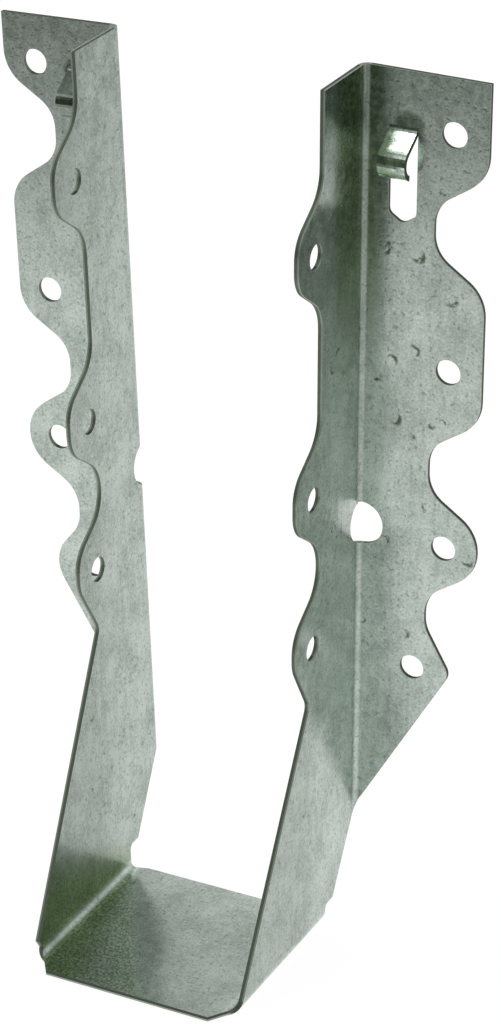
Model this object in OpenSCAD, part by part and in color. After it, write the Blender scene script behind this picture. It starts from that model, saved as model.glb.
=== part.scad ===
// Face-mount joist hanger, folded from one sheet of galvanised steel.
// X runs across the joist, +Y from the joist to the header, Z up. The origin is the middle of the seat's top.
// Each side is drawn as the right-hand one, upright, from the corner where its wall would meet the header
// and the seat: x outward, y towards the header, z up. The left side is mirrored and has its own heights.

/* [Sheet] */
// Thickness of the steel
sheet = 0.91; // [0.7:0.01:2]
// Inside radius of the folds
fold_radius = 1; // [0.6:0.1:2]
// Outward lean of each wall in degrees, from the spring of the fold
wall_lean = 1.1488; // [0:0.0001:3]

/* [Seat] */
// Clear width between the walls at the seat
seat_width = 39.7; // [30:0.1:60]
// Length of the seat along the joist
seat_length = 38.1; // [30:0.1:60]
// Gap between the header's face and the seat
seat_gap = 12.4; // [8:0.1:16]
// Width of the slanted corners beside the seat folds
seat_corner = 2.3; // [1:0.1:4]

/* [Walls and flanges] */
// Height above the seat
height = 161.9; // [150:0.1:200]
// Reach of the wall from the header, between its waves
wall_reach = 15.9; // [12:0.1:20]
// Width of the flange between its waves
flange_reach = 23.7; // [22:0.1:30]

/* [Nail holes] */
// Diameter of every nail hole
nail_hole = 4.7; // [4:0.1:6]
// Distance of the wall's nail holes from the header
wall_nail_reach = 18.6; // [16:0.1:21]
// Distance of the right wall's top nail hole from the top edge
wall_nail_drop = 28.2; // [20:0.1:34]
// Heights of the right wall's two lower nail holes
wall_nails = [88.7, 59.6]; // [50:0.1:110]
// Distance of the flange's upper nail holes from the wall
flange_nail_reach = 17.4; // [16:0.1:20]
// Distance of the top nail hole from the top edge, on the right and the left flange
flange_nail_drops = [9.9, 8.5]; // [6:0.1:14]
// Heights of the right flange's two middle nail holes
flange_nails = [109, 75.1]; // [60:0.1:130]
// Heights of the left flange's two middle nail holes
left_flange_nails = [110.4, 81.2]; // [60:0.1:130]
// Distance of the flange's lowest nail hole from the wall
low_nail_reach = 11.9; // [9:0.1:14]
// Height of the right flange's lowest nail hole
low_nail = 49.9; // [46:0.1:60]

/* [Waves in the free edges] */
// Depth of the wall's waves
wave_depth = 9.1; // [6:0.1:12]
// Depth of the flange's waves
flange_wave_depth = 9.6; // [6:0.1:12]
// Distance of the top wave's middle from the top edge
wave_drop = 28; // [22:0.1:34]
// Heights of the middles of the two lower waves
lower_waves = [89.1, 61.1]; // [50:0.1:110]
// Half the straight length of each wave's crest, from the top
wave_crests = [4.2, 4.2, 3.1]; // [2:0.1:8]
// Corner radius of each wave's crest, from the top
wave_radii = [6, 6, 6.5]; // [2:0.1:9]
// Height that an edge takes to run out to a crest
wave_run = 6.4; // [4:0.1:9]
// Extra height of the flange's waves over the wall's
flange_wave_lift = 0.7; // [0:0.1:2]
// Radius at the foot of a wave
wave_foot_radius = 7.2; // [2:0.1:9]
// Sideways run for each millimetre of height below the last crest
wave_end_slope = 0.58; // [0.3:0.01:1]

/* [Slanted edges] */
// Height at which the lower back edge crosses the fold
cut_height = 17.6; // [14:0.1:24]
// Sideways run of that edge for each millimetre of height
cut_slope = 0.57; // [0.4:0.01:0.7]
// Distance of the front edge from the header at the seat's level
front_reach = 45.5; // [40:0.1:50]
// Sideways run of the front edge for each millimetre of height
front_slope = 0.54; // [0.4:0.01:0.7]
// Corner radius where the waves end
neck_radius = 2.5; // [1:0.1:4]
// Distance by which the seat folds' front ends meet the seat further forward than that
seat_fold_run = 1.7; // [1:0.1:4]
// Height of the notch behind the right seat fold, whose end is level with the seat's back edge
notch_height = 2.5; // [2:0.1:6]
// Corner radius in the notches
notch_radius = 1.2; // [0.5:0.1:2]

/* [Left side] */
// Extra height of the left side's waves and wall nails, which keeps nails from the two sides apart
left_wave_lift = 6; // [0:0.1:8]
// Extra height of the left side's slanted back edge
left_cut_lift = 3.3; // [0:0.1:6]
// Extra height of the notch behind the left seat fold
left_notch_lift = 2.1; // [0:0.1:4]
// Distance that this notch cuts further forward
left_notch_depth = 0.7; // [0:0.1:2]
// Extra height of the left side's slanted front edge
left_front_lift = 5.3; // [0:0.1:8]
// Distance by which the left seat fold begins behind the line of that edge
left_step = 2.2; // [1.5:0.1:3]
// Height above the fold of the small slanted corner that leads back to it
left_step_height = 1.9; // [0.5:0.1:3]
// Extra length of the last crest on the left flange
left_crest_extra = 0.8; // [0:0.1:2]
// Sideways run for each millimetre of height below that crest
left_end_slope = 0.85; // [0.5:0.01:1.2]
// Corner radius where the left flange's waves end
left_neck_radius = 7; // [3:0.1:8]

/* [Round hole through each header fold] */
// Diameter of the hole before the sheet is folded
fold_hole = 8.2; // [6:0.1:10]
// Distance of its centre from the middle of the fold, towards the flange
fold_hole_shift = 0.8; // [0:0.1:2]
// Height of the right-hand hole
fold_hole_height = 76.6; // [70:0.1:84]
// Extra height of the left-hand hole
left_fold_hole_lift = 2.2; // [0:0.1:5]

/* [Prongs] */
// Distance of the prong's middle from the wall
prong_reach = 8.15; // [7:0.1:11]
// Distance of the right prong's root from the top edge
prong_drop = 9.7; // [6:0.1:16]
// Extra height of the left prong
left_prong_lift = 1.4; // [0:0.1:4]
// Width of the slot left in the flange
slot_width = 5.3; // [3:0.1:6]
// Length of the slot
slot_length = 17.6; // [14:0.1:22]
// Length of the point at the end of slot and prong
slot_point = 1.7; // [0.5:0.1:3]
// Corner radius of that point
slot_radius = 1.5; // [0.5:0.1:2]
// Length by which the prong, before it is bent, is shorter than the slot
prong_trim = 4.3; // [0:0.1:6]
// Clearance between slot and prong on each side
prong_gap = 0.12; // [0.1:0.01:0.4]
// Angle by which the prong is bent forward at its root
prong_lift = 56; // [45:1:80]
// Inside radius of that bend
prong_root_radius = 1.2; // [1:0.1:2.5]
// Flat length between the two bends
prong_run = 3.8; // [3:0.1:7]
// Angle by which the prong is then curled back
prong_curl = 140; // [90:1:150]
// Inside radius of the curl
prong_curl_radius = 2.1; // [1:0.1:3]

/* [Hidden] */
$fn = 64;
arc_steps = 8;                            // straight pieces in a rounded corner of an outline
fold_slices = 6;                          // slices in which a slanted end goes round a fold
slice_overlap = 1;                        // degrees by which neighbouring slices overlap
over = 1;                                 // how far a cutter runs past the sheet
outer_radius = fold_radius + sheet;
mid_radius = fold_radius + sheet / 2;
half_fold = mid_radius * PI / 4;          // half the flat length of a fold
corner_loss = outer_radius - half_fold;   // length that a fold takes from each plate's distance to its corner
fold_middle = outer_radius - fold_radius / 2; // depth just past the middle of a header fold
header_y = seat_gap + seat_length / 2;        // from the seat's middle to the header
seat_half = seat_width / 2 - fold_radius; // half the width of the flat seat
seat_front = seat_gap + seat_length;
seat_fold_front = front_reach + seat_fold_run;
wave_middles = concat([height - wave_drop], lower_waves);
waves = [for (i = [0 : 2]) [wave_middles[i], wave_crests[i], wave_radii[i]]];
bend_steps = 16;                          // straight pieces in each bend of a prong
root_overlap = 0.5;                       // how far the prong's strip runs up into the flange
prong_end = prong_lift - prong_curl;      // heading of the prong's last stretch
root_arc = prong_lift * PI / 180 * (prong_root_radius + sheet / 2);
curl_arc = prong_curl * PI / 180 * (prong_curl_radius + sheet / 2);
prong_flat = slot_length - prong_trim - prong_run - root_arc - curl_arc; // length of that stretch
steel = [0.66, 0.69, 0.67];

hanger();

// The unit vector along v.
function unit(v) = v / norm(v);

// Vector v turned by angle a.
function turned(v, a) = [v[0] * cos(a) - v[1] * sin(a), v[0] * sin(a) + v[1] * cos(a)];

// The points that stand for the corner at b, [x, y, radius], between its neighbours a and c.
function corner(a, b, c) =
    let (
        tip = [b[0], b[1]],
        back = unit([a[0], a[1]] - tip),
        ahead = unit([c[0], c[1]] - tip),
        half_angle = acos(back * ahead) / 2,
        centre = tip + unit(back + ahead) * b[2] / sin(half_angle),
        start = tip + back * b[2] / tan(half_angle) - centre,
        end = tip + ahead * b[2] / tan(half_angle) - centre,
        way = sign(start[0] * end[1] - start[1] * end[0]),
        sweep = way * (180 - 2 * half_angle)
    )
    [for (i = [0 : arc_steps]) centre + turned(start, sweep * i / arc_steps)];

// A closed outline in which each corner that has a radius is rounded.
function rounded(points) =
    let (n = len(points))
    [for (i = [0 : n - 1])
        each len(points[i]) == 2 ? [points[i]]
            : corner(points[(i + n - 1) % n], points[i], points[(i + 1) % n])];

// What the left side has more than the right side.
function extra(left, value) = left ? value : 0;

// Height of the slanted back edge at a flat distance from the middle of the header fold, towards the flange.
function cut_z(distance, left) = cut_height + extra(left, left_cut_lift) + distance / cut_slope;

// Distance of the slanted front edge from the header at height z.
function front_at(z, left) = front_reach + front_slope * (extra(left, left_front_lift) - z);

// Distance from the header of the seat fold's front end, where it meets the wall.
function wall_foot(left) = front_at(fold_radius, left) - extra(left, left_step);

// The height at which two lines meet. Each has a distance at height 0 and gains its slope per millimetre.
function meeting(first_base, first_slope, second_base, second_slope) =
    (second_base - first_base) / (first_slope - second_slope);

// Where an edge leaves distance `from` for a wave's crest at distance `to`, and where it comes back.
function wave_out(w, from, to, lift) = [
    [from, w[0] + lift + w[1] + wave_run, wave_foot_radius],
    [to, w[0] + lift + w[1], w[2]],
];
function wave_back(w, from, to, lift) = [
    [to, w[0] + lift - w[1], w[2]],
    [from, w[0] + lift - w[1] - wave_run, wave_foot_radius],
];

// The wavy free edge of a wall or flange, from the top to the neck where its slanted edge starts. That one
// is at distance `base` at height 0 and gains `slope` for each millimetre of height. `end` holds what the
// edge does after the last crest: the crest's extra length, the slope there and the neck's radius.
function free_edge(from, to, base, slope, lift, end) =
    let (
        crest_low = waves[2][0] + lift - waves[2][1] - end[0],
        crest_slope = sign(to - from) * end[1],
        neck_z = meeting(to - crest_slope * crest_low, crest_slope, base, slope)
    )
    [
        [from, height],
        for (w = [waves[0], waves[1]]) each concat(wave_out(w, from, to, lift), wave_back(w, from, to, lift)),
        each wave_out(waves[2], from, to, lift),
        [to, crest_low, waves[2][2]],
        [base + slope * neck_z, neck_z, end[2]],
    ];

module wall_plate(left) {
    back = seat_gap + extra(left, left_notch_depth);
    notch_z = notch_height + extra(left, left_notch_lift);
    notch_reach = corner_loss + (cut_height + extra(left, left_cut_lift) - notch_z) * cut_slope;
    step_z = fold_radius + left_step_height;
    edge = free_edge(wall_reach, wall_reach + wave_depth, front_at(0, left), -front_slope,
        extra(left, left_wave_lift), [0, wave_end_slope, neck_radius]);
    translate([sheet, 0, 0])
        rotate([90, 0, -90])
            linear_extrude(sheet)
                polygon(rounded([
                    [outer_radius, height],
                    each edge,
                    if (left) [front_at(step_z, left), step_z],
                    [wall_foot(left), fold_radius],
                    [back, fold_radius],
                    [back, notch_z, notch_radius],
                    [notch_reach, notch_z],
                    [outer_radius, cut_z(-half_fold, left)],
                ]));
}

module flange_plate(left) {
    base = corner_loss - (cut_height + extra(left, left_cut_lift)) * cut_slope;
    end = left ? [left_crest_extra, left_end_slope, left_neck_radius] : [0, wave_end_slope, neck_radius];
    edge = free_edge(flange_reach, flange_reach - flange_wave_depth, base, cut_slope,
        flange_wave_lift + extra(left, left_wave_lift), end);
    rotate([90, 0, 0])
        linear_extrude(sheet)
            polygon(rounded([
                [outer_radius, height],
                each edge,
                [outer_radius, cut_z(half_fold, left)],
            ]));
}

// The quarter ring between wall and flange.
module header_fold(left) {
    base = cut_z(-half_fold, left) - over;
    translate([outer_radius, -outer_radius, 0])
        rotate([0, 0, 90])
            rotate_extrude(angle = 90)
                translate([fold_radius, base])
                    square([sheet, height - base]);
}

// What a slanted end leaves out of a fold, whose axis is Z. It goes clockwise round the fold from angle
// `start` in slices, each square to the sheet, as the edge of a punched sheet is after folding. The end runs
// from height `z_start` to `z_end`, and everything from there to height `far` is left out.
module slanted_end(start, turn, z_start, z_end, far) {
    slice = turn / fold_slices;
    reach = outer_radius + over;
    rise = (z_end - z_start) / (mid_radius * PI / 180 * turn);
    for (i = [0 : fold_slices - 1]) {
        middle = z_start + (z_end - z_start) * (i + 0.5) / fold_slices;
        intersection() {
            rotate([0, 0, start - slice * (i + 1) - slice_overlap])
                rotate_extrude(angle = slice + 2 * slice_overlap)
                    square([reach, height]);
            rotate([0, 0, start - slice * (i + 0.5)])
                rotate([90, 0, 90])
                    linear_extrude(reach)
                        polygon([
                            [-reach, middle + rise * reach],
                            [reach, middle - rise * reach],
                            [reach, far],
                            [-reach, far],
                        ]);
        }
    }
}

// The fold between wall and seat. Its front end runs from the wall's front edge to the seat's slanted corner.
module seat_fold(left) {
    back = seat_gap + extra(left, left_notch_depth);
    translate([-fold_radius, 0, fold_radius])
        rotate([90, 0, 0])
            difference() {
                rotate_extrude(angle = wall_lean - 90)
                    translate([fold_radius, back])
                        square([sheet, seat_fold_front - back]);
                slanted_end(0, 90 - wall_lean, wall_foot(left), seat_fold_front, seat_front + over);
            }
}

// A hole into the wall from its inner face, square to it.
module wall_hole(reach, z, d, depth = sheet + over) {
    translate([-over, -reach, z])
        rotate([0, 90, 0])
            cylinder(h = depth + over, d = d);
}

// A hole into the flange from its back, square to it.
module flange_hole(reach, z, d, depth = sheet + over) {
    translate([reach, over, z])
        rotate([90, 0, 0])
            cylinder(h = depth + over, d = d);
}

// The rounded end of a strip with this half width, from its right side to its left, with the point at 0.
function end_line(half) =
    let (
        line = [
            [half, 2 * slot_point],
            [half, slot_point, slot_radius],
            [0, 0, slot_radius],
            [-half, slot_point, slot_radius],
            [-half, 2 * slot_point],
        ]
    )
    [for (i = [1 : 3]) each corner(line[i - 1], line[i], line[i + 1])];

// The slot's outline, hanging from its top edge.
module slot_outline() {
    polygon([
        [-slot_width / 2, 0],
        [slot_width / 2, 0],
        for (p = end_line(slot_width / 2)) p - [0, slot_length],
    ]);
}

// In the prong's side view a point is [y, z], and angle t is the strip's heading from straight down.
function heading(t) = [-sin(t), -cos(t)];
function backward(t) = [cos(t), -sin(t)];

// The line that depth d below the strip's back follows, from the root to the point. The two bends have their
// centres at `root` and `curl`.
function strip_line(d) =
    let (
        root = [-sheet - prong_root_radius, 0],
        curl = root + (prong_root_radius + sheet + prong_curl_radius) * backward(prong_lift)
            + prong_run * heading(prong_lift)
    )
    [
        [-d, root_overlap],
        for (i = [0 : bend_steps])
            root + (prong_root_radius + sheet - d) * backward(prong_lift * i / bend_steps),
        for (i = [0 : bend_steps])
            curl - (prong_curl_radius + d) * backward(prong_lift - prong_curl * i / bend_steps),
        curl - (prong_curl_radius + d) * backward(prong_end) + prong_flat * heading(prong_end),
    ];

// The prong: punched from the slot on three sides, bent forward and curled back towards the header.
module prong() {
    half = slot_width / 2 - prong_gap;
    back = strip_line(0);
    front = strip_line(sheet);
    tip = back[len(back) - 1];
    end = end_line(half);
    difference() {
        translate([half, 0, 0])
            rotate([90, 0, -90])
                linear_extrude(2 * half)
                    polygon([
                        for (p = back) [-p[0], p[1]],
                        for (i = [len(front) - 1 : -1 : 0]) [-front[i][0], front[i][1]],
                    ]);
        translate([0, tip[0], tip[1]])
            rotate([-prong_end, 0, 0])
                translate([0, sheet, 0])
                    rotate([90, 0, 0])
                        linear_extrude(3 * sheet)
                            polygon([
                                [half + over, end[0][1]],
                                each end,
                                [-half - over, end[0][1]],
                                [-half - over, -over],
                                [half + over, -over],
                            ]);
    }
}

// One side: wall, fold and flange, with their holes and the prong.
module side(left) {
    lift = extra(left, left_wave_lift);
    hole_z = fold_hole_height + extra(left, left_fold_hole_lift);
    root_z = height - prong_drop + extra(left, left_prong_lift);
    wall_z = concat([height - wall_nail_drop], wall_nails);
    flange_z = left ? concat([height - flange_nail_drops[1]], left_flange_nails)
        : concat([height - flange_nail_drops[0]], flange_nails);
    difference() {
        union() {
            wall_plate(left);
            header_fold(left);
            flange_plate(left);
        }
        translate([outer_radius, -outer_radius, 0])
            slanted_end(180, 90, cut_z(-half_fold, left), cut_z(half_fold, left), 0);
        for (z = wall_z) wall_hole(wall_nail_reach, z + lift, nail_hole);
        for (z = flange_z) flange_hole(flange_nail_reach, z, nail_hole);
        flange_hole(low_nail_reach, low_nail + lift, nail_hole);
        wall_hole(corner_loss - fold_hole_shift, hole_z, fold_hole, fold_middle);
        flange_hole(corner_loss + fold_hole_shift, hole_z, fold_hole, fold_middle);
        translate([prong_reach, over, root_z])
            rotate([90, 0, 0])
                linear_extrude(sheet + 2 * over)
                    slot_outline();
    }
    translate([prong_reach, 0, root_z]) prong();
    seat_fold(left);
}

// Moves a side from its corner to its place on the seat's edge, and leans it outward.
module placed() {
    translate([seat_half, header_y, fold_radius])
        rotate([0, wall_lean, 0])
            translate([fold_radius, 0, -fold_radius])
                children();
}

// The flat of the seat, with slanted corners that run to the ends of the two folds.
module seat() {
    inner = seat_half - seat_corner;
    translate([0, header_y, -sheet])
        linear_extrude(sheet)
            polygon([
                [seat_half, -seat_gap],
                [seat_half, -seat_fold_front],
                [inner, -seat_front],
                [-inner, -seat_front],
                [-seat_half, -seat_fold_front],
                [-seat_half, -seat_gap - left_notch_depth],
                [-inner, -seat_gap],
            ]);
}

module hanger() {
    color(steel) {
        seat();
        placed() side(false);
        mirror([1, 0, 0]) placed() side(true);
    }
}
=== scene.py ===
import math

import bpy
from mathutils import Matrix, Vector


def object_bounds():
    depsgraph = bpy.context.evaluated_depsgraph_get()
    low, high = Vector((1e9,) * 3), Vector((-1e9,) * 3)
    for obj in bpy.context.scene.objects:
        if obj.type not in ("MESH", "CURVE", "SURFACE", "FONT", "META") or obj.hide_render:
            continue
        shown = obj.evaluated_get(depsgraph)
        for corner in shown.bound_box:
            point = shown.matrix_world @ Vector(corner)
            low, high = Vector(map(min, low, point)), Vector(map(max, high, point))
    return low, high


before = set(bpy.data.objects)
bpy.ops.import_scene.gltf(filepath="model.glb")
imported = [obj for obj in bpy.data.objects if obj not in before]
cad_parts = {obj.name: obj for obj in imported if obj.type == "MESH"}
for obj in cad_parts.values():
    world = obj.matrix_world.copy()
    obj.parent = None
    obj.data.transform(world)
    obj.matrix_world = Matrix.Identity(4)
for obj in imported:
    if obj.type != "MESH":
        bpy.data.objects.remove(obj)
cad_box = [list(corner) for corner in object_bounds()]
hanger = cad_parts["hanger"]

# Lengths are in metres, and colours are red, green, blue and 1, unless a comment says otherwise.

# Sizes of the folded sheet
HEADER_Y = 0.03145          # the header's face
SHEET = 0.00091             # thickness
FRONT_Y = HEADER_Y - SHEET  # the flanges' front face
FOLD = 0.001                # inside radius of the folds
WALL_X = 0.01985            # the wall's inner face at the seat's level
WALL_LEAN = 0.02005         # how far that face moves out for each metre of height
PRONG_X = 0.0319            # how far out the prongs' roots are
PRONG_Z = 0.1518            # how high they are
MARGIN = 0.00005            # keeps the border between two masks just off the face beside it
SEAT_MARGIN = 0.00002       # the same at the end of the seat folds
PRONG_START = 0.0003        # how far in front of the flange a prong begins
FLOOR_GAP = 0.00002         # how far the floor is under the hanger

# Turns of the surface normal, as slopes
SPRING = 0.075              # how far a flange springs open beside its fold
DRAWN = 0.075               # how far the sheet leans back where the punch drew it in
BOW = 0.04                  # how far the right wall bows high up
CROWN = 24                  # how round the prongs are across, for each metre from their middle
CROWN_TURN = -0.014         # how far a prong is twisted as a whole

# The share of a sheared face's depth that broke rough, after the punch had cut the rest clean
TORN_IN_FLANGE = 0.78
TORN_ELSEWHERE = 0.62

# The steel's colours
ZINC_DARK = (0.29, 0.337, 0.302, 1)
ZINC_LIGHT = (0.49, 0.55, 0.502, 1)
# Painted shade on the dents, and dark specks in the zinc
DENT_SHADE_AND_SPECKS = (0.09, 0.11, 0.08, 1)
CUT_CLEAN = (0.34, 0.39, 0.33, 1)
TORN = (0.16, 0.185, 0.15, 1)
# The torn band where shade is painted on it
TORN_SHADED = (0.07, 0.082, 0.065, 1)
# Painted shade: the left wall's foot, the right wall's corner high up and the left of the seat
FOOT_SHADE = (0.35, 0.53, 0.12, 1)
CORNER_SHADE = (0.33, 0.45, 0.2, 1)
SEAT_SHADE = (0.46, 0.53, 0.36, 1)

# The room: a white table under white walls and a grey ceiling, unlit in front
WHITE = (1, 1, 1, 1)
CEILING = (0.40, 0.43, 0.39, 1)
ROOM_GREEN = (0.06, 0.078, 0.045, 1)    # the unlit part in front
ROOM_TURN = 0.4                         # how much nearer the unlit part is on the right than on the left
PAPER_GLOW = 0.9                        # how bright the paper is by itself
PAPER_MATT = (0.22, 0.22, 0.22, 1)      # what it adds where the lamp reaches it
PAPER_FAR = (0.7, 0.7, 0.7, 1)          # its colour far off
PAPER_EDGE = (0.24, 0.44)               # how far off the paper's white fades, towards the front
PAPER_FRONT = (-0.12, 0.0)              # where it counts as in front
PAPER_DULL = (0.25, 0.5)                # how far off it takes its far colour
# The same for the room, by the way a ray points: towards the front, and how steeply up
ROOM_FRONT = (-0.65, -0.3)
ROOM_FRONT_TOP = (0.45, 0.75)
CEILING_EDGE = (0.62, 0.8)

# The camera
AZIMUTH, ELEVATION, ROLL = 28.64, 26.25, -1.38          # in degrees
LENS = 119.8125                                         # in millimetres, on a sensor of the next size
SENSOR = 36
LENS_SHIFT = (0.02880859375, -0.0078125)                # sideways and up, as shares of the longer side
CAMERA_STAND = Vector((0.2596, -0.4860 + HEADER_Y, 0.3467))

# Small dents from the press and the bundle, each drawn as a crescent of painted shade: face, place along the
# face and height in millimetres, radius in millimetres and the way the crescent opens in degrees
DENTS = (
    ("flange", 40.5, 122.5, 1.3, 140), ("flange", 33.5, 112, 1.2, 200), ("flange", 29.5, 109.5, 1.1, 230),
    ("flange", 26.5, 106, 1.0, 120), ("flange", 30, 98.5, 1.2, 150), ("flange", 37, 98.5, 0.8, 60),
    ("flange", 39, 99.5, 0.7, 240), ("flange", 33, 95.5, 0.9, 180), ("flange", 35.5, 82.5, 0.7, 20),
    ("flange", 28.2, 130.2, 1.2, 170), ("flange", 34.2, 129.6, 1.4, 130), ("flange", 38.8, 141.9, 0.8, 30),
    ("flange", 44, 73.5, 1.0, 100), ("flange", 28, 74.5, 0.9, 210), ("flange", 23.5, 57.5, 0.8, 160),
    ("flange", 32, 56.5, 1.0, 190),
    ("right wall", 20, 111, 1.0, 30), ("right wall", 22, 113.5, 0.9, 300), ("right wall", 10.5, 27.5, 0.8, 80),
    ("right wall", 20.5, 80, 0.6, 0), ("right wall", 22.5, 78, 0.5, 90),
    ("left wall", 21, 10.5, 0.7, 45), ("left wall", 8, 38, 0.8, 110), ("left wall", 6.5, 23.5, 0.7, 250),
)
CRESCENT_OFFSET = 0.62      # how far the spot that cuts a crescent out is shifted, as a share of its radius
CRESCENT_RIM = (0.8, 1.25)  # where a spot fades, as shares of its radius
DENT_SHAKE = (0.0009, 0.0009, 0.0009)   # how far the crescents' outlines waver
SHAKE_SCALE = 900           # how often they do so, to the metre


class NodeSheet:
    """The nodes of a material or a world, with short calls for the kinds that this scene needs."""

    def __init__(self, owner, out="ShaderNodeOutputMaterial"):
        owner.use_nodes = True
        self.owner = owner
        self.tree = owner.node_tree
        self.tree.nodes.clear()
        self.out = self.tree.nodes.new(out)

    def node(self, kind, **settings):
        made = self.tree.nodes.new(kind)
        for key, value in settings.items():
            setattr(made, key, value)
        return made

    def feed(self, socket, value):
        if isinstance(value, bpy.types.NodeSocket):
            self.tree.links.new(value, socket)
        else:
            socket.default_value = value

    def show(self, surface):
        """Ends the nodes in this surface, and gives back the material or world."""
        self.feed(self.out.inputs["Surface"], surface)
        return self.owner

    def coordinates(self, kind):
        return self.node("ShaderNodeTexCoord").outputs[kind]

    def split(self, vector):
        made = self.node("ShaderNodeSeparateXYZ")
        self.feed(made.inputs[0], vector)
        return made.outputs

    def math(self, operation, *values):
        made = self.node("ShaderNodeMath", operation=operation)
        for socket, value in zip(made.inputs, values):
            self.feed(socket, value)
        return made.outputs[0]

    def vector(self, operation, *values, out="Vector"):
        made = self.node("ShaderNodeVectorMath", operation=operation)
        for socket, value in zip(made.inputs, values):
            self.feed(socket, value)
        return made.outputs[out]

    def ramp(self, value, low, high, to_low=0.0, to_high=1.0):
        """A smooth change from to_low, where the value is low, to to_high, where it is high."""
        made = self.node("ShaderNodeMapRange", clamp=True, interpolation_type="SMOOTHSTEP")
        self.feed(made.inputs["Value"], value)
        made.inputs["From Min"].default_value = low
        made.inputs["From Max"].default_value = high
        made.inputs["To Min"].default_value = to_low
        made.inputs["To Max"].default_value = to_high
        return made.outputs["Result"]

    def noise(self, where, scale, detail=2.0, roughness=0.5, stretch=(1, 1, 1), shift=(0, 0, 0)):
        """Cloudy noise of about `scale` clouds to the metre."""
        place = self.node("ShaderNodeMapping")
        self.feed(place.inputs["Vector"], where)
        place.inputs["Scale"].default_value = stretch
        place.inputs["Location"].default_value = shift
        made = self.node("ShaderNodeTexNoise")
        self.feed(made.inputs["Vector"], place.outputs[0])
        made.inputs["Scale"].default_value = scale
        made.inputs["Detail"].default_value = detail
        made.inputs["Roughness"].default_value = roughness
        return made.outputs["Fac"]

    def above(self, value, limit):
        return self.math("GREATER_THAN", value, limit)

    def below(self, value, limit):
        return self.math("LESS_THAN", value, limit)

    def every(self, *masks):
        both = masks[0]
        for mask in masks[1:]:
            both = self.math("MULTIPLY", both, mask)
        return both

    def any_of(self, *masks):
        most = masks[0]
        for mask in masks[1:]:
            most = self.math("MAXIMUM", most, mask)
        return most

    def distance(self, a, b):
        """How far off a place is that lies a one way and b the other."""
        return self.math("SQRT", self.math("MULTIPLY_ADD", a, a, self.math("MULTIPLY", b, b)))

    def blend(self, share, a, b, kind="MIX"):
        made = self.node("ShaderNodeMix", data_type="RGBA", blend_type=kind)
        self.feed(made.inputs["Factor"], share)
        self.feed(made.inputs["A"], a)
        self.feed(made.inputs["B"], b)
        return made.outputs["Result"]

    def glow(self, kind, colour, strength=1.0):
        made = self.node(kind)
        self.feed(made.inputs["Color"], colour)
        made.inputs["Strength"].default_value = strength
        return made.outputs[0]

    def mix(self, share, a, b):
        made = self.node("ShaderNodeMixShader")
        for socket, value in zip(made.inputs, (share, a, b)):
            self.feed(socket, value)
        return made.outputs[0]


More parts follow.
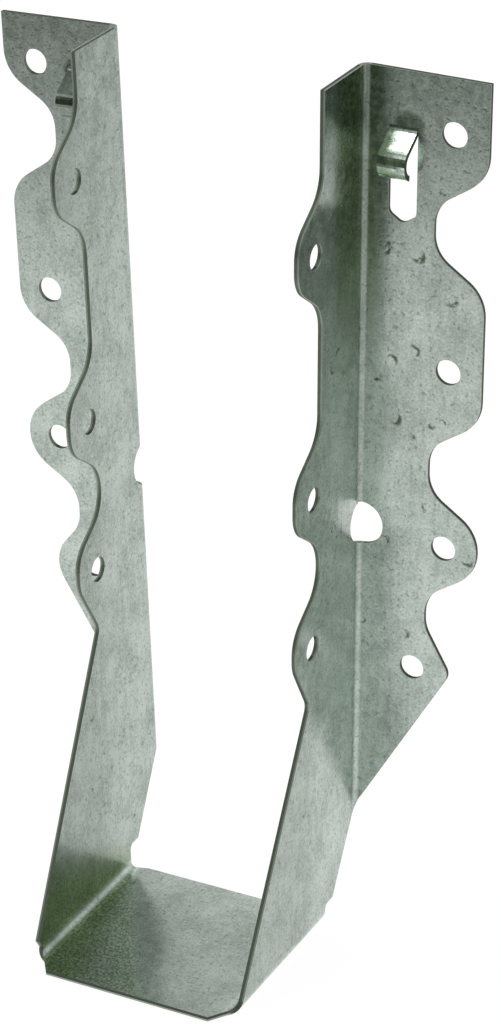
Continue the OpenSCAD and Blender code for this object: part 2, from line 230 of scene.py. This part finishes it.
class SheetPlaces:
    """Masks for the parts of the folded sheet, 1 inside and 0 outside, and distances from its folds."""

    def __init__(self, sheet):
        x, y, z = sheet.split(sheet.coordinates("Object"))
        nx, ny, nz = sheet.split(sheet.vector("ABSOLUTE", sheet.coordinates("Normal")))
        right = sheet.above(x, 0)
        left = sheet.below(x, 0)
        aside = sheet.math("ABSOLUTE", x)
        # Distance outward from the wall's inner face, which leans
        out = sheet.math("SUBTRACT", aside, sheet.math("MULTIPLY_ADD", z, WALL_LEAN, WALL_X))
        past_fold = sheet.above(out, SHEET + FOLD - MARGIN)
        before_fold = sheet.below(out, SHEET + FOLD - MARGIN)
        in_flange = sheet.above(y, FRONT_Y - MARGIN)
        in_front = sheet.below(y, FRONT_Y - MARGIN)
        by_header = sheet.above(y, FRONT_Y - FOLD)
        off_header = sheet.below(y, FRONT_Y - FOLD)
        raised = sheet.above(z, FOLD + SEAT_MARGIN)
        low = sheet.below(z, FOLD + SEAT_MARGIN)
        on_seat = sheet.below(out, -FOLD)
        off_seat = sheet.above(out, -FOLD)

        # Faces
        self.flange = sheet.every(past_fold, in_flange)
        self.prong = sheet.every(past_fold, sheet.below(y, FRONT_Y - PRONG_START))
        self.seat = sheet.every(low, on_seat)
        self.left_wall = sheet.every(before_fold, left)
        self.right_prong = sheet.every(self.prong, right)
        self.left_prong = sheet.every(self.prong, left)

        # How far a place is from the middle line of its fold, beside the header and beside the seat
        middle = FOLD * (1 - math.sqrt(0.5))
        self.header_fold = sheet.distance(
            sheet.math("SUBTRACT", out, SHEET + middle), sheet.math("SUBTRACT", y, FRONT_Y - middle))
        self.seat_fold = sheet.distance(sheet.math("ADD", out, middle), sheet.math("SUBTRACT", z, middle))
        self.fold = sheet.any_of(
            sheet.ramp(self.header_fold, 0.0004, 0.0011, 1.0, 0.0),
            sheet.ramp(self.seat_fold, 0.0006, 0.0014, 1.0, 0.0))

        # Sheared edges, told from the sheet's own faces by the way they point: the flanges', the prongs', the
        # header folds', the walls', the seat folds' and the seat's
        self.sheared = sheet.any_of(
            sheet.every(past_fold, in_flange, sheet.below(ny, 0.5)),
            sheet.every(past_fold, in_front, sheet.above(nx, 0.7)),
            sheet.every(before_fold, by_header, sheet.above(nz, 0.6)),
            sheet.every(before_fold, off_header, raised, sheet.below(nx, 0.5)),
            sheet.every(low, off_seat, before_fold, sheet.above(ny, 0.6)),
            sheet.every(low, on_seat, sheet.below(nz, 0.5)),
        )
        # The punch leaves a clean band on the outer third of each sheared face, and breaks the rest
        depth = sheet.math("SUBTRACT", HEADER_Y, y)
        self.torn = sheet.any_of(
            sheet.every(self.flange, sheet.below(depth, SHEET * TORN_IN_FLANGE)),
            sheet.every(past_fold, in_front),
            sheet.every(past_fold, sheet.above(nz, 0.6), left),
            sheet.every(before_fold, off_header, raised, sheet.below(out, SHEET * TORN_ELSEWHERE)),
            sheet.every(low, sheet.above(z, -SHEET * TORN_ELSEWHERE)),
        )
        # On the tops, the right flange and the seat's front edge the torn band is painted darker: painted shade
        self.shaded_edge = sheet.any_of(
            sheet.above(nz, 0.9), sheet.every(self.flange, right), sheet.every(self.seat, sheet.below(y, 0)))

        # Places where light and shade are painted into the zinc's colour
        self.beside_header = sheet.ramp(y, 0.0, 0.028)
        self.left_top = sheet.every(self.flange, left, sheet.ramp(z, 0.105, 0.14))
        across_seat = sheet.math("MULTIPLY_ADD", y, 0.6, x)
        self.left_seat = sheet.every(self.seat, sheet.ramp(across_seat, -0.0115, -0.0055, 1.0, 0.0))
        # The left wall's foot, on the inside, as far up as a slanted line: painted shade
        slant = sheet.math("MULTIPLY_ADD", y, 0.5, z)
        self.foot = sheet.every(
            left, sheet.below(out, SHEET / 2), sheet.above(out, -FOLD - 0.0002),
            sheet.ramp(self.seat_fold, 0.0006, 0.0013), sheet.ramp(slant, 0.006, 0.0165, 1.0, 0.0))
        # The right wall's outer face high up; its corner beside the header and a strip of the flange along it
        # get painted shade
        high = sheet.ramp(z, 0.1, 0.135)
        self.high_wall = sheet.every(
            before_fold, right, sheet.above(out, SHEET / 2), sheet.below(y, FRONT_Y), high)
        strip = sheet.every(self.flange, right, sheet.ramp(out, 0.0027, 0.0058, 0.5, 0.0), high)
        corner = sheet.every(
            self.high_wall, sheet.ramp(y, 0.0175, 0.0225), sheet.ramp(self.header_fold, 0.0004, 0.001))
        self.corner = sheet.any_of(corner, strip)

        # Distance outward from a prong's middle, and the sheet that the punch drew in over its root
        self.prong_width = sheet.math("SUBTRACT", aside, PRONG_X)
        root = sheet.distance(
            sheet.math("MULTIPLY", self.prong_width, 1.35),
            sheet.math("MULTIPLY_ADD", z, 1.5, -1.5 * PRONG_Z - 0.0005))
        self.drawn = sheet.every(past_fold, in_flange, sheet.ramp(root, 0.0022, 0.0046, 1.0, 0.0))


def dent_place(face, along, height):
    """The point on the sheet's outer face, and the direction in which `along` grows."""
    along, height = along / 1000, height / 1000
    lean = WALL_LEAN * height
    if face == "flange":
        return Vector((along, FRONT_Y, height)), Vector((1, 0, 0))
    if face == "right wall":
        return Vector((WALL_X + SHEET + lean, along, height)), Vector((0, 1, 0))
    return Vector((-WALL_X - lean, along, height)), Vector((0, 1, 0))


def dents(sheet, spot):
    """1 in each crescent of painted dent shade, 0 elsewhere. A crescent is a round spot less a second one beside
    it.
    """
    shaken = sheet.node("ShaderNodeTexNoise")
    sheet.feed(shaken.inputs["Vector"], spot)
    shaken.inputs["Scale"].default_value = SHAKE_SCALE
    wavy = sheet.vector("MULTIPLY_ADD", shaken.outputs["Color"], DENT_SHAKE, spot)
    crescents = []
    for face, along, height, radius, opening in DENTS:
        centre, across = dent_place(face, along, height)
        radius /= 1000
        angle = math.radians(opening)
        towards = math.cos(angle) * across + math.sin(angle) * Vector((0, 0, 1))
        beside = centre + CRESCENT_OFFSET * radius * towards
        inner, outer = (share * radius for share in CRESCENT_RIM)
        spots = []
        for middle, inside, outside in ((centre, 1.0, 0.0), (beside, 0.0, 1.0)):
            away = sheet.vector("DISTANCE", wavy, middle, out="Value")
            spots.append(sheet.ramp(away, inner, outer, inside, outside))
        crescents.append(sheet.every(*spots))
    return sheet.any_of(*crescents)


def turned_normal(sheet, place):
    """The surface normal, turned on the flanges as the spring of their folds turns the real ones.

    The sheet leans back where the punch drew it in over a prong, the prong is a little crowned,
    and the right wall bows a little high up.
    """
    normal = sheet.node("ShaderNodeNewGeometry").outputs["Normal"]
    side = sheet.math("SIGN", sheet.split(sheet.coordinates("Object"))[0])
    front = sheet.split(normal)[1]
    sprung = sheet.every(front, side, place.flange, -SPRING)
    crown = sheet.every(sheet.math("MULTIPLY_ADD", place.prong_width, CROWN, CROWN_TURN), side, place.prong)
    turn = sheet.node("ShaderNodeCombineXYZ")
    sheet.feed(turn.inputs[0], sheet.math("ADD", sprung, crown))
    sheet.feed(turn.inputs[1], sheet.math("MULTIPLY", place.high_wall, BOW))
    sheet.feed(turn.inputs[2], sheet.math("MULTIPLY", place.drawn, DRAWN))
    return sheet.vector("NORMALIZE", sheet.vector("ADD", normal, turn.outputs[0]))


def galvanised_steel():
    """Dull zinc over folded sheet: bright where it sees the white room once, dark green where it sees itself,
    with light and shade painted into its colour too.
    """
    sheet = NodeSheet(bpy.data.materials.new("galvanised_steel"))
    spot = sheet.coordinates("Object")
    place = SheetPlaces(sheet)

    grain = sheet.noise(spot, 2200, detail=1, roughness=0.6)
    spangle = sheet.noise(spot, 620, detail=2, roughness=0.6, shift=(3, 1, 2))
    cloud = sheet.noise(spot, 130, detail=5, roughness=0.6, shift=(1, 5, 2))
    streak = sheet.noise(spot, 900, detail=2, roughness=0.6, stretch=(1, 1, 0.15), shift=(2, 2, 7))
    shade = sheet.math("MULTIPLY", grain, 0.3)
    for part, share in ((spangle, 0.2), (cloud, 0.35), (streak, 0.15)):
        shade = sheet.math("MULTIPLY_ADD", part, share, shade)
    colour = sheet.blend(sheet.ramp(shade, 0.38, 0.62), ZINC_DARK, ZINC_LIGHT)

    broken = sheet.ramp(sheet.noise(spot, 1300, detail=2, shift=(9, 4, 1)), 0.36, 0.52, 0.35, 1.0)
    specks = sheet.ramp(sheet.noise(spot, 1150, detail=1, shift=(5, 8, 3)), 0.6, 0.72, 0.0, 0.4)
    # Painted shade on the dents' crescents, and dark specks in the zinc
    dent_shade_and_specks = sheet.any_of(sheet.math("MULTIPLY", dents(sheet, spot), broken), specks)
    colour = sheet.blend(dent_shade_and_specks, colour, DENT_SHADE_AND_SPECKS)

    # Painted light and shade: brighter by the header, on the folds, on the right prong and on the seat's left,
    # and darker towards the front, on the seat, the left prong, the left wall and the left flange's top. Each
    # row holds a value, where it runs from and to, and how bright the zinc is at either end.
    bright = 1.0
    for value, *run in (
            (place.beside_header, 0.0, 1.0, 0.87, 1.17),
            (place.seat, 0.0, 1.0, 1.0, 0.92),
            (place.right_prong, 0.0, 1.0, 1.0, 1.55),
            (place.left_prong, 0.0, 1.0, 1.0, 0.5),
            (place.header_fold, 0.0003, 0.0009, 1.1, 1.0),
            (place.seat_fold, 0.0008, 0.0018, 1.45, 1.0),
            (place.left_wall, 0.0, 1.0, 1.0, 0.9),
            (place.left_top, 0.0, 1.0, 1.0, 0.86),
            (place.left_seat, 0.0, 1.0, 1.0, 1.42)):
        bright = sheet.math("MULTIPLY", bright, sheet.ramp(value, *run))
    colour = sheet.blend(1.0, colour, bright, "MULTIPLY")
    # Grainy green painted shade on the left wall's foot, the right wall's corner high up and the left of the
    # seat
    patchy = sheet.ramp(grain, 0.36, 0.6, 0.3, 1.0)
    grainy = sheet.ramp(
        sheet.noise(spot, 1900, detail=2, roughness=0.7, shift=(4, 4, 6)), 0.44, 0.58, 1.0, 0.0)
    for where, grains, shade_colour in (
            (place.foot, patchy, FOOT_SHADE), (place.corner, patchy, CORNER_SHADE),
            (place.left_seat, grainy, SEAT_SHADE)):
        colour = sheet.blend(sheet.math("MULTIPLY", where, grains), colour, shade_colour, "MULTIPLY")
    sheared = sheet.blend(place.torn, CUT_CLEAN, sheet.blend(place.shaded_edge, TORN, TORN_SHADED))
    colour = sheet.blend(place.sheared, colour, sheared)

    rough = sheet.ramp(spangle, 0.3, 0.7, 0.19, 0.30)
    for where, change in ((place.fold, 0.2), (place.seat, -0.06), (place.sheared, 0.32), (place.prong, -0.07)):
        rough = sheet.math("MULTIPLY_ADD", where, change, rough)

    bump = sheet.node("ShaderNodeBump")
    sheet.feed(bump.inputs["Strength"], sheet.ramp(place.prong, 0.0, 1.0, 0.2, 0.04))
    bump.inputs["Distance"].default_value = 0.00008
    sheet.feed(bump.inputs["Height"], sheet.math("SUBTRACT", shade, dent_shade_and_specks))
    sheet.feed(bump.inputs["Normal"], turned_normal(sheet, place))

    shader = sheet.node("ShaderNodeBsdfPrincipled")
    shader.inputs["Metallic"].default_value = 1.0
    sheet.feed(shader.inputs["Base Color"], colour)
    sheet.feed(shader.inputs["Roughness"], rough)
    sheet.feed(shader.inputs["Normal"], bump.outputs[0])
    return sheet.show(shader.outputs[0])


def paper_floor():
    """A white sheet that keeps a faint shadow. The steel shows it white too, as far as its front edge."""
    sheet = NodeSheet(bpy.data.materials.new("paper_floor"))
    spot = sheet.coordinates("Object")
    far = sheet.vector("LENGTH", spot, out="Value")
    x, y, _ = sheet.split(spot)
    matt = sheet.node("ShaderNodeBsdfDiffuse")
    matt.inputs["Color"].default_value = PAPER_MATT
    plain = sheet.node("ShaderNodeAddShader")
    sheet.feed(plain.inputs[0], sheet.glow("ShaderNodeEmission", WHITE, PAPER_GLOW))
    sheet.feed(plain.inputs[1], matt.outputs[0])
    reach = sheet.math("MULTIPLY_ADD", x, ROOM_TURN, far)
    ahead = sheet.every(sheet.ramp(reach, *PAPER_EDGE), sheet.ramp(y, *PAPER_FRONT, 1.0, 0.0))
    white = sheet.blend(sheet.ramp(far, *PAPER_DULL), WHITE, PAPER_FAR)
    mirrored = sheet.glow("ShaderNodeEmission", sheet.blend(ahead, white, ROOM_GREEN))
    ray = sheet.node("ShaderNodeLightPath").outputs
    in_steel = sheet.any_of(ray["Is Glossy Ray"], ray["Is Transmission Ray"])
    return sheet.show(sheet.mix(in_steel, plain.outputs[0], mirrored))


def white_room():
    """White to the eye. The steel shows its walls white, its ceiling grey and its front unlit."""
    sheet = NodeSheet(bpy.data.worlds.new("white_room"), "ShaderNodeOutputWorld")
    x, y, z = sheet.split(sheet.coordinates("Generated"))
    turned = sheet.math("MULTIPLY_ADD", x, -ROOM_TURN, y)
    ahead = sheet.every(
        sheet.ramp(turned, *ROOM_FRONT, 1.0, 0.0), sheet.ramp(z, *ROOM_FRONT_TOP, 1.0, 0.0))
    walls = sheet.blend(sheet.ramp(z, *CEILING_EDGE), WHITE, CEILING)
    lit = sheet.glow("ShaderNodeBackground", sheet.blend(ahead, walls, ROOM_GREEN))
    white = sheet.glow("ShaderNodeBackground", WHITE)
    to_eye = sheet.node("ShaderNodeLightPath").outputs["Is Camera Ray"]
    return sheet.show(sheet.mix(to_eye, lit, white))


def set_camera():
    """The long lens that looks down at the hanger from its right front."""
    azimuth, elevation, roll = (math.radians(angle) for angle in (AZIMUTH, ELEVATION, ROLL))
    away = Vector((-math.sin(azimuth) * math.cos(elevation), math.cos(azimuth) * math.cos(elevation),
                   -math.sin(elevation)))
    level = Vector((math.cos(azimuth), math.sin(azimuth), 0))
    upright = level.cross(away)
    right = math.cos(roll) * level + math.sin(roll) * upright
    up = -math.sin(roll) * level + math.cos(roll) * upright
    lens = bpy.data.cameras.new("camera")
    lens.sensor_width = SENSOR
    lens.lens = LENS
    lens.shift_x, lens.shift_y = LENS_SHIFT
    lens.clip_start = 0.05
    lens.clip_end = 10
    camera = bpy.data.objects.new("camera", lens)
    bpy.context.collection.objects.link(camera)
    camera.matrix_world = Matrix.Translation(CAMERA_STAND) @ Matrix((right, up, -away)).transposed().to_4x4()
    bpy.context.scene.camera = camera


def soft_lamp(name, stand, aim, size, power):
    lamp = bpy.data.lights.new(name, "AREA")
    lamp.shape = "SQUARE"
    lamp.size = size
    lamp.energy = power
    made = bpy.data.objects.new(name, lamp)
    bpy.context.collection.objects.link(made)
    made.location = stand
    made.rotation_euler = (Vector(aim) - Vector(stand)).to_track_quat("-Z", "Y").to_euler()


def lay_floor():
    """A wide floor, a hair under the hanger's lowest face."""
    lowest = cad_box[0][2]
    bpy.ops.mesh.primitive_plane_add(size=6, location=(0, 0, lowest - FLOOR_GAP))
    floor = bpy.context.object
    floor.name = "floor"
    floor.data.materials.append(paper_floor())


steel = galvanised_steel()
for slot in hanger.material_slots:
    slot.material = steel
set_camera()
bpy.context.scene.world = white_room()
lay_floor()
soft_lamp("overhead", stand=(-0.28, 0.02, 1.0), aim=(0.03, 0.03, 0.15), size=0.18, power=0.42)

scene = bpy.context.scene
scene.view_settings.view_transform = "Standard"
